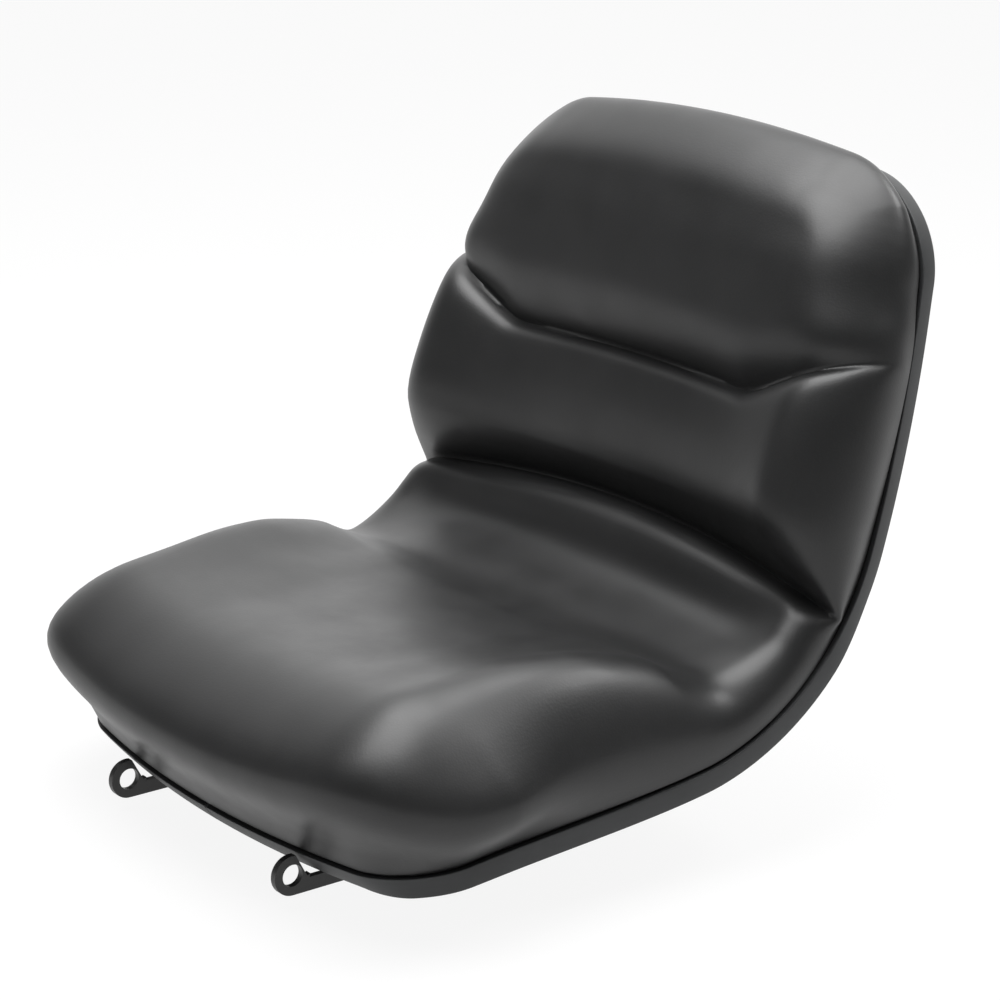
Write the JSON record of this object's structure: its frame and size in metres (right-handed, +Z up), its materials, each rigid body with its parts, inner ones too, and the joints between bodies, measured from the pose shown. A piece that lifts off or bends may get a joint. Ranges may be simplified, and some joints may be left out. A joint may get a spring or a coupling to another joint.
{
  "type": "tractor seat",
  "caption": "One-piece moulded bucket seat with a high back, thigh and side bolsters, a steel pan with an edge trim, and two bolted rails with pivot ears at the front.",
  "frame": {"origin": "middle of the pivot axis, halfway between the two ears", "axes": "+X across the seat to the sitter's left, +Y from the front edge to the rear, +Z up"},
  "size_m": [0.4972, 0.5317, 0.4825],
  "materials": {
    "cushion_vinyl": "black vinyl skin with a fine grain and a soft sheen",
    "pan_paint": "satin black powder coat",
    "trim_rubber": "smooth extruded black trim, dull",
    "rail_paint": "satin black paint, lighter on worn edges",
    "zinc_steel": "bright zinc plate",
    "buffer_rubber": "plain moulded rubber"
  },
  "bodies": {
    "root": {"cushion": "cushion_vinyl", "seat_pan": "pan_paint", "edge_trim": "trim_rubber", "left_pivot_rail": "rail_paint", "right_pivot_rail": "rail_paint", "pan_studs": "zinc_steel", "rail_washers": "zinc_steel", "rail_spring_washers": "zinc_steel", "rail_nuts": "zinc_steel", "left_rest_buffer": "buffer_rubber", "right_rest_buffer": "buffer_rubber", "buffer_screws": "zinc_steel", "buffer_washers": "zinc_steel", "buffer_nuts": "zinc_steel"}
  },
  "joints": []
}
